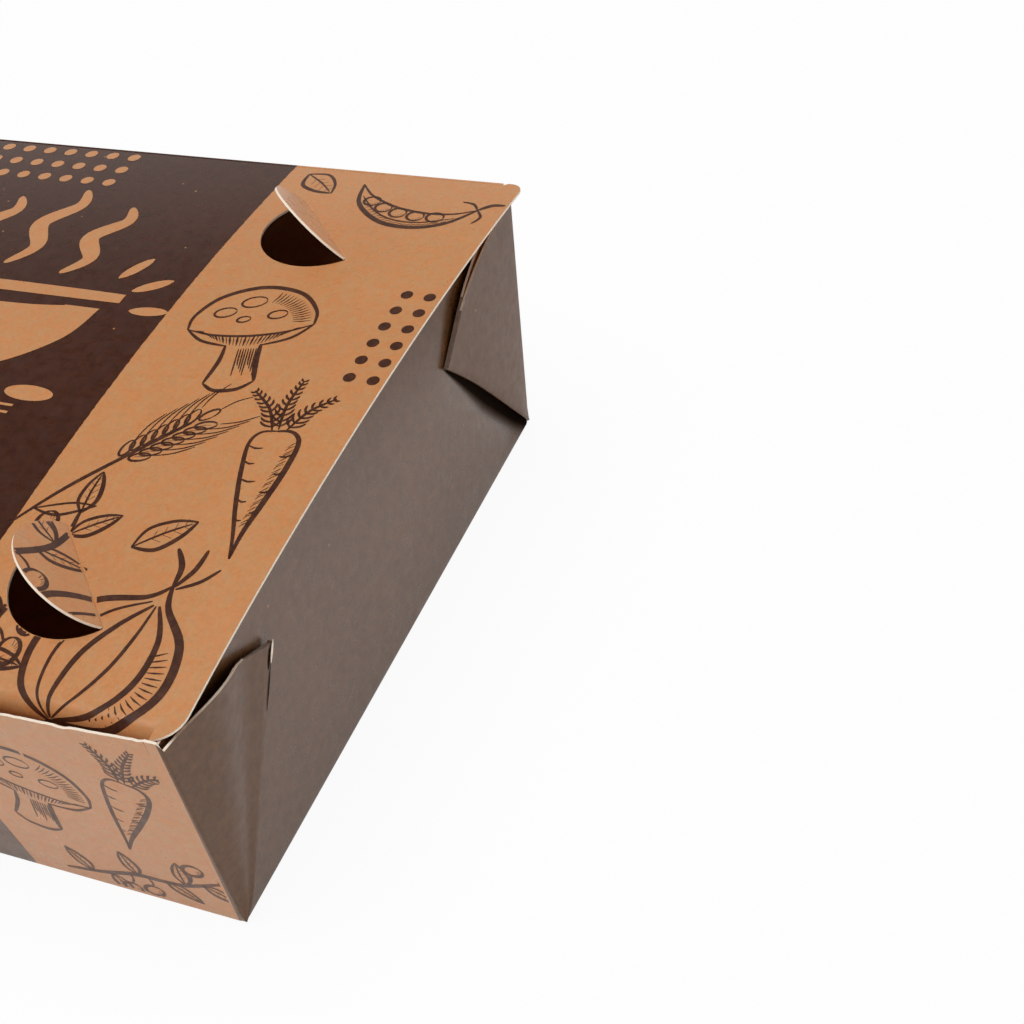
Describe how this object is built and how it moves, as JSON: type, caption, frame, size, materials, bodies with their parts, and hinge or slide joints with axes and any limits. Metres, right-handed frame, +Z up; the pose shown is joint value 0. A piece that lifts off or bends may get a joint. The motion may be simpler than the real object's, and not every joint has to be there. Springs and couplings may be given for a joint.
{
  "type": "takeaway box",
  "caption": "Folded kraft board food box: tray with leaning walls and web corners, an arched tuck lid on its back crease, and half-moon vent tabs cut in the lid.",
  "frame": {"origin": "under the middle of the floor, on the surface that the box stands on", "axes": "+X along the box towards the end with the open vent tabs, +Y from the front wall to the hinged back wall, +Z up"},
  "size_m": [0.1614, 0.1265, 0.0612],
  "materials": {
    "tray_board": "matt board, printed dark brown-grey outside on the ends and the middle, bare kraft inside",
    "lid_board": "matt kraft board with a dark printed middle"
  },
  "bodies": {
    "tray": {"tray": "tray_board"},
    "lid": {"lid": "lid_board"},
    "front_right_tab": {"vent_tab_front_right": "lid_board"},
    "back_right_tab": {"vent_tab_back_right": "lid_board"},
    "front_left_tab": {"vent_tab_front_left": "lid_board"},
    "back_left_tab": {"vent_tab_back_left": "lid_board"}
  },
  "joints": [
    {"name": "lid_hinge", "type": "hinge", "parent": "tray", "child": "lid", "pos_m": [0, 0.06267, 0.0502], "axis": [-1, 0, 0], "range_deg": [0, 180]},
    {"name": "front_right_vent", "type": "hinge", "parent": "lid", "child": "front_right_tab", "pos_m": [0.0536, -0.039, 0.05044], "axis": [-0.7056, 0.7056, 0.0653], "range_deg": [-45, 45]},
    {"name": "back_right_vent", "type": "hinge", "parent": "lid", "child": "back_right_tab", "pos_m": [0.0514, 0.04267, 0.05173], "axis": [-0.7065, 0.7065, -0.0428], "range_deg": [-55, 35]},
    {"name": "front_left_vent", "type": "hinge", "parent": "lid", "child": "front_left_tab", "pos_m": [-0.0536, -0.039, 0.05044], "axis": [-0.7056, -0.7056, -0.0653], "range_deg": [0, 90]},
    {"name": "back_left_vent", "type": "hinge", "parent": "lid", "child": "back_left_tab", "pos_m": [-0.0514, 0.04267, 0.05173], "axis": [-0.7065, -0.7065, 0.0428], "range_deg": [0, 90]}
  ]
}
